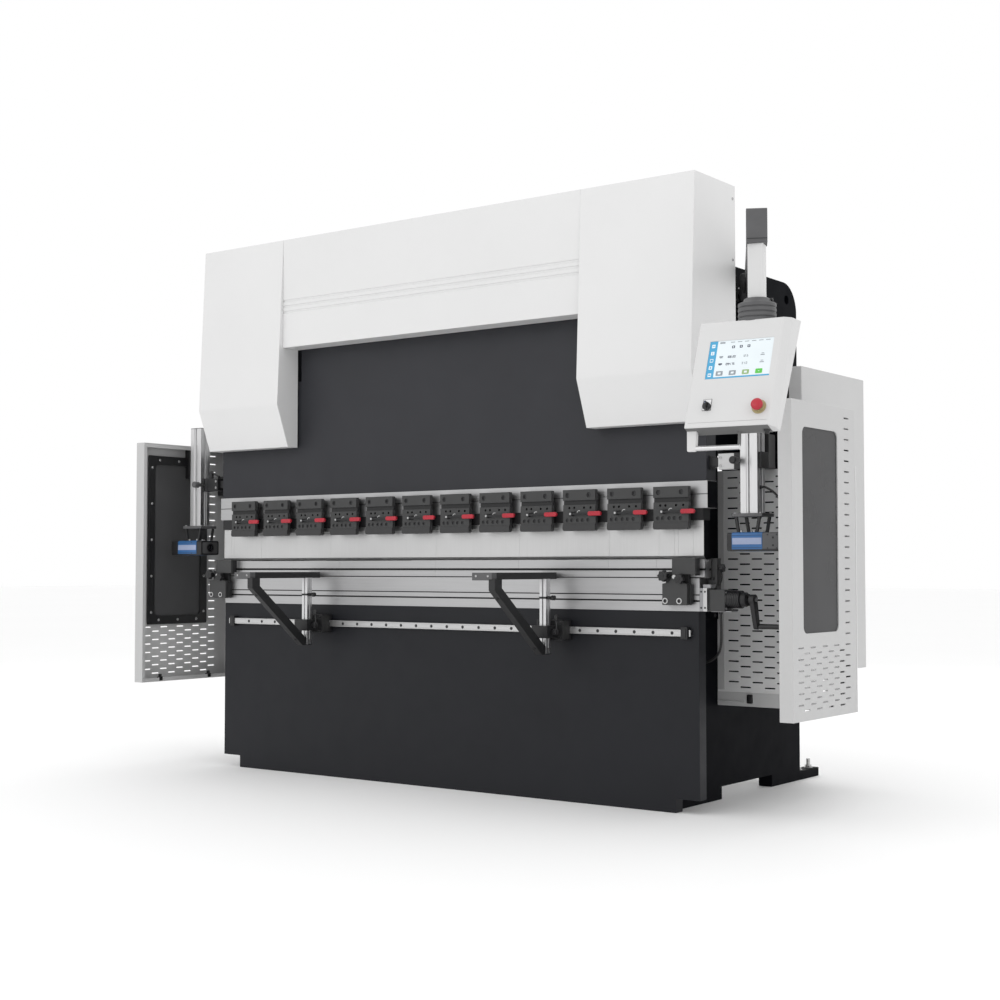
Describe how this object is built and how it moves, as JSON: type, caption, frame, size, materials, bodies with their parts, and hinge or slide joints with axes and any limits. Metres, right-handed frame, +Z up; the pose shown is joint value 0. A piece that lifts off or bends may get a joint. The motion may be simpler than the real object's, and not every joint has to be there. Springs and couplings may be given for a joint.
{
  "type": "press brake",
  "caption": "Hydraulic sheet-metal press brake with moving upper beam, clamped punch, V die, side guards, light guard, sheet supports, back gauge and swinging control panel.",
  "frame": {"origin": "on the floor under the bending line, at the middle of the bed plate's length and thickness", "axes": "+Z up, +X along the machine towards the control panel's side, +Y towards the back of the machine"},
  "size_m": [3.4515, 1.8823, 2.307],
  "materials": {
    "bed_paint": "satin blue-black enamel",
    "ram_paint": "satin slate grey enamel",
    "white_paint": "satin white enamel on sheet steel",
    "grey_paint": "satin light grey enamel on sheet steel",
    "machined_steel": "ground steel",
    "anodised": "clear anodised extrusion",
    "black_finish": "black textured coating",
    "blackened_steel": "black oxide",
    "rod_chrome": "hard chromed and polished",
    "red_grip": "red moulded plastic",
    "black_plastic": "black moulded plastic",
    "grey_plastic": "dark grey moulded plastic",
    "blue_cover": "blue painted cover, dark end caps",
    "smoke_pane": "dark tinted polycarbonate",
    "lead_rubber": "black cable sheath"
  },
  "bodies": {
    "machine": {"c_frame_left": "bed_paint", "c_frame_right": "bed_paint", "bed_plate": "bed_paint", "crowning_table": "machined_steel", "lower_die": "machined_steel", "guide_rail": "machined_steel", "rear_tie_beam": "bed_paint", "hydraulic_unit": "bed_paint", "cylinder_left": "black_finish", "cylinder_right": "black_finish", "housing_left": "white_paint", "housing_right": "white_paint", "fascia": "white_paint", "guard_panel_left": "grey_paint", "guard_panel_right": "grey_paint", "electrical_cabinet": "bed_paint", "end_clamp_left": "blackened_steel", "end_clamp_right": "blackened_steel", "crank_drive": "blackened_steel", "crank_lead": "lead_rubber"},
    "ram_body": {"ram": "ram_paint", "tool_clamps": "blackened_steel", "punch": "machined_steel", "piston_rod_left": "rod_chrome", "piston_rod_right": "rod_chrome", "post_clamp_left": "black_finish", "post_clamp_right": "black_finish"},
    "light_guard_left": {"light_post_left": "anodised", "light_unit_left": "blue_cover"},
    "light_guard_right": {"light_post_right": "anodised", "light_unit_right": "blue_cover", "light_lead": "lead_rubber"},
    "guard_left": {"guard_door_left": "white_paint", "guard_window_left": "smoke_pane"},
    "guard_right": {"guard_door_right": "white_paint", "guard_window_right": "smoke_pane"},
    "cabinet_door": {"cabinet_door": "grey_paint"},
    "arm": {"pendant_arm": "grey_plastic", "drop_tube": "white_paint"},
    "panel": {"control_panel": "white_paint"},
    "stop_button": {"stop_button": "red_grip"},
    "mode_switch": {"mode_switch": "black_plastic"},
    "crank": {"crank_handle": "black_plastic"},
    "carriage_left": {"support_carriage_left": "black_finish"},
    "carriage_right": {"support_carriage_right": "black_finish"},
    "support_left": {"support_arm_left": "black_finish"},
    "support_right": {"support_arm_right": "black_finish"},
    "back_gauge": {"back_gauge": "machined_steel"},
    "clamp_lever_01": {"clamp_lever_01": "red_grip"},
    "clamp_lever_02": {"clamp_lever_02": "red_grip"},
    "clamp_lever_03": {"clamp_lever_03": "red_grip"},
    "clamp_lever_04": {"clamp_lever_04": "red_grip"},
    "clamp_lever_05": {"clamp_lever_05": "red_grip"},
    "clamp_lever_06": {"clamp_lever_06": "red_grip"},
    "clamp_lever_07": {"clamp_lever_07": "red_grip"},
    "clamp_lever_08": {"clamp_lever_08": "red_grip"},
    "clamp_lever_09": {"clamp_lever_09": "red_grip"},
    "clamp_lever_10": {"clamp_lever_10": "red_grip"},
    "clamp_lever_11": {"clamp_lever_11": "red_grip"},
    "clamp_lever_12": {"clamp_lever_12": "red_grip"}
  },
  "joints": [
    {"name": "ram_stroke", "type": "slide", "parent": "machine", "child": "ram_body", "axis": [0, 0, 1], "range_m": [0, 0.11]},
    {"name": "lever_01", "type": "hinge", "parent": "ram_body", "child": "clamp_lever_01", "pos_m": [-1.097, -0.06, 1.089], "axis": [0, 1, 0], "range_deg": [0, 60]},
    {"name": "lever_02", "type": "hinge", "parent": "ram_body", "child": "clamp_lever_02", "pos_m": [-0.898, -0.06, 1.089], "axis": [0, 1, 0], "range_deg": [0, 60]},
    {"name": "lever_03", "type": "hinge", "parent": "ram_body", "child": "clamp_lever_03", "pos_m": [-0.699, -0.06, 1.089], "axis": [0, 1, 0], "range_deg": [0, 60]},
    {"name": "lever_04", "type": "hinge", "parent": "ram_body", "child": "clamp_lever_04", "pos_m": [-0.5, -0.06, 1.089], "axis": [0, 1, 0], "range_deg": [0, 60]},
    {"name": "lever_05", "type": "hinge", "parent": "ram_body", "child": "clamp_lever_05", "pos_m": [-0.301, -0.06, 1.089], "axis": [0, 1, 0], "range_deg": [0, 60]},
    {"name": "lever_06", "type": "hinge", "parent": "ram_body", "child": "clamp_lever_06", "pos_m": [-0.102, -0.06, 1.089], "axis": [0, 1, 0], "range_deg": [0, 60]},
    {"name": "lever_07", "type": "hinge", "parent": "ram_body", "child": "clamp_lever_07", "pos_m": [0.097, -0.06, 1.089], "axis": [0, 1, 0], "range_deg": [0, 60]},
    {"name": "lever_08", "type": "hinge", "parent": "ram_body", "child": "clamp_lever_08", "pos_m": [0.296, -0.06, 1.089], "axis": [0, 1, 0], "range_deg": [0, 60]},
    {"name": "lever_09", "type": "hinge", "parent": "ram_body", "child": "clamp_lever_09", "pos_m": [0.495, -0.06, 1.089], "axis": [0, 1, 0], "range_deg": [0, 60]},
    {"name": "lever_10", "type": "hinge", "parent": "ram_body", "child": "clamp_lever_10", "pos_m": [0.694, -0.06, 1.089], "axis": [0, 1, 0], "range_deg": [0, 60]},
    {"name": "lever_11", "type": "hinge", "parent": "ram_body", "child": "clamp_lever_11", "pos_m": [0.893, -0.06, 1.089], "axis": [0, 1, 0], "range_deg": [0, 60]},
    {"name": "lever_12", "type": "hinge", "parent": "ram_body", "child": "clamp_lever_12", "pos_m": [1.092, -0.06, 1.089], "axis": [0, 1, 0], "range_deg": [0, 60]},
    {"name": "light_guard_left_height", "type": "slide", "parent": "ram_body", "child": "light_guard_left", "axis": [0, 0, 1], "range_m": [-0.1, 0.06]},
    {"name": "light_guard_right_height", "type": "slide", "parent": "ram_body", "child": "light_guard_right", "axis": [0, 0, 1], "range_m": [-0.1, 0.06]},
    {"name": "guard_left_hinge", "type": "hinge", "parent": "machine", "child": "guard_left", "pos_m": [-1.64, 0.382, 0.362], "axis": [0, 0, 1], "range_deg": [-110, 0]},
    {"name": "guard_right_hinge", "type": "hinge", "parent": "machine", "child": "guard_right", "pos_m": [1.64, 0.382, 0.362], "axis": [0, 0, 1], "range_deg": [0, 110]},
    {"name": "cabinet_door_hinge", "type": "hinge", "parent": "machine", "child": "cabinet_door", "pos_m": [1.404, 1.012, 0.484], "axis": [0, 0, 1], "range_deg": [0, 110]},
    {"name": "arm_swing", "type": "hinge", "parent": "machine", "child": "arm", "pos_m": [1.15, 0.53, 1.958], "axis": [0, 0, 1], "range_deg": [-5, 75]},
    {"name": "panel_swivel", "type": "hinge", "parent": "arm", "child": "panel", "pos_m": [1.664, -0.4325, 1.738], "axis": [0, 0, 1], "range_deg": [-60, 90]},
    {"name": "stop_press", "type": "slide", "parent": "panel", "child": "stop_button", "axis": [-0.0814, 0.93, -0.3584], "range_m": [0, 0.004], "stiffness_N_per_m": 400},
    {"name": "mode_turn", "type": "hinge", "parent": "panel", "child": "mode_switch", "pos_m": [1.57515, -0.61022, 1.39726], "axis": [0.0814, -0.93, 0.3584], "range_deg": [-60, 60]},
    {"name": "crank_turn", "type": "hinge", "parent": "machine", "child": "crank", "pos_m": [1.4043, 0.01, 0.773], "axis": [1, 0, 0], "continuous": true},
    {"name": "carriage_left_slide", "type": "slide", "parent": "machine", "child": "carriage_left", "axis": [1, 0, 0], "range_m": [-0.4, 0.45]},
    {"name": "support_left_height", "type": "slide", "parent": "carriage_left", "child": "support_left", "axis": [0, 0, 1], "range_m": [-0.1, 0.01]},
    {"name": "carriage_right_slide", "type": "slide", "parent": "machine", "child": "carriage_right", "axis": [1, 0, 0], "range_m": [-0.45, 0.45]},
    {"name": "support_right_height", "type": "slide", "parent": "carriage_right", "child": "support_right", "axis": [0, 0, 1], "range_m": [-0.1, 0.01]},
    {"name": "back_gauge_travel", "type": "slide", "parent": "machine", "child": "back_gauge", "axis": [0, 1, 0], "range_m": [-0.12, 0.28]}
  ]
}
